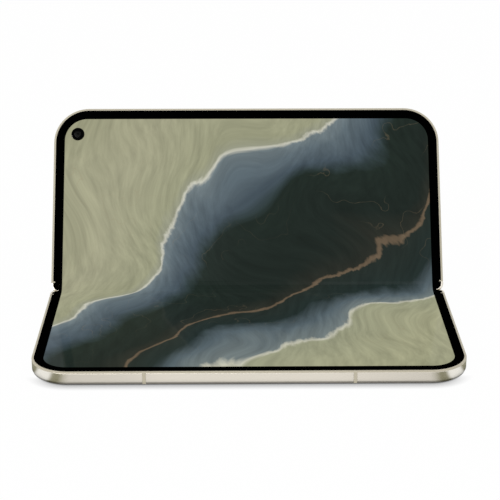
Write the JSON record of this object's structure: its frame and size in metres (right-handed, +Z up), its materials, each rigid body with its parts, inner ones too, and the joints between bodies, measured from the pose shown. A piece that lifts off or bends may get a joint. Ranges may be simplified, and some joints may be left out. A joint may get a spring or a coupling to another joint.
{
  "type": "foldable smartphone",
  "caption": "Book-style folding phone standing half open: geared double hinge under a bending inner display, outer display, sliding keys and card tray.",
  "frame": {"origin": "middle of the outer face of the half that lies on the table", "axes": "+X along the hinge towards the end with the charging socket, +Y from the lying half's free edge to the hinge, +Z up"},
  "size_m": [0.1552, 0.1181, 0.0683],
  "materials": {
    "frame_metal": "satin",
    "rim_plastic": "matte",
    "black_trim": "matte",
    "display": "glossy",
    "cover_glass": "glossy",
    "back_glass": "matte",
    "panel_black": "glossy",
    "camera_black": "glossy",
    "cell_foil": "satin",
    "board": "satin",
    "shield_steel": "satin",
    "speaker_plastic": "matte",
    "motor_steel": "satin",
    "copper": "satin",
    "hinge_steel": "satin",
    "screw_steel": "satin"
  },
  "bodies": {
    "lower_half": {"lower_frame": "frame_metal", "lower_rim": "rim_plastic", "lower_bezel": "black_trim", "inner_display_lower": "display", "cover_glass": "cover_glass", "cover_display": "panel_black", "cover_camera": "camera_black", "lower_battery": "cell_foil", "lower_board": "board", "lower_shields": "shield_steel", "lower_speaker": "speaker_plastic", "sim_reader": "shield_steel", "lower_hinge_brackets": "hinge_steel", "lower_bracket_screws": "screw_steel"},
    "sim_tray": {"sim_tray": "frame_metal"},
    "spine": {"spine_cover": "frame_metal", "hinge_blocks": "hinge_steel", "block_screws": "screw_steel", "gear_pins": "hinge_steel", "display_bend": "display"},
    "upper_idlers": {"upper_idlers": "hinge_steel"},
    "lower_idlers": {"lower_idlers": "hinge_steel"},
    "upper_half": {"upper_frame": "frame_metal", "upper_rim": "rim_plastic", "upper_bezel": "black_trim", "inner_display_upper": "display", "inner_camera": "camera_black", "back_glass": "back_glass", "camera_housing": "frame_metal", "camera_window": "cover_glass", "flash_unit": "camera_black", "wide_camera": "camera_black", "ultrawide_camera": "camera_black", "tele_camera": "camera_black", "upper_battery": "cell_foil", "charging_coil": "copper", "main_board": "board", "board_shields": "shield_steel", "tail_board": "board", "charging_socket": "shield_steel", "main_speaker": "speaker_plastic", "haptic_motor": "motor_steel", "key_switches": "board", "upper_hinge_brackets": "hinge_steel", "upper_bracket_screws": "screw_steel"},
    "power_key": {"power_key": "frame_metal"},
    "volume_key": {"volume_key": "frame_metal"}
  },
  "joints": [
    {"name": "fold", "type": "hinge", "parent": "lower_half", "child": "spine", "pos_m": [0, 0.03642, 0.00405], "axis": [1, 0, 0], "range_deg": [-29, 61], "deforming": ["display_bend"]},
    {"name": "upper_fold", "type": "hinge", "parent": "spine", "child": "upper_half", "pos_m": [0, 0.03852, 0.00521], "axis": [1, 0, 0], "range_deg": [-29, 61]},
    {"name": "upper_idler_spin", "type": "hinge", "parent": "spine", "child": "upper_idlers", "pos_m": [0, 0.0389, 0.0035], "axis": [1, 0, 0], "range_deg": [-91.5, 43.5]},
    {"name": "lower_idler_spin", "type": "hinge", "parent": "spine", "child": "lower_idlers", "pos_m": [0, 0.03768, 0.00283], "axis": [1, 0, 0], "range_deg": [-43.5, 91.5]},
    {"name": "power_press", "type": "slide", "parent": "upper_half", "child": "power_key", "axis": [0, -0.5299, -0.848], "range_m": [0, 0.00025], "stiffness_N_per_m": 6000},
    {"name": "volume_rock", "type": "hinge", "parent": "upper_half", "child": "volume_key", "pos_m": [0.0032, 0.07837, 0.06616], "axis": [0, -0.848, 0.5299], "range_deg": [-1.1, 1.1], "stiffness_Nm_per_rad": 0.8},
    {"name": "tray_slide", "type": "slide", "parent": "lower_half", "child": "sim_tray", "axis": [1, 0, 0], "range_m": [0, 0.021]}
  ],
  "couplings": [
    {"joint": "upper_fold", "follows": "fold", "ratio": 1},
    {"joint": "upper_idler_spin", "follows": "fold", "ratio": -1.5},
    {"joint": "lower_idler_spin", "follows": "fold", "ratio": 1.5}
  ]
}
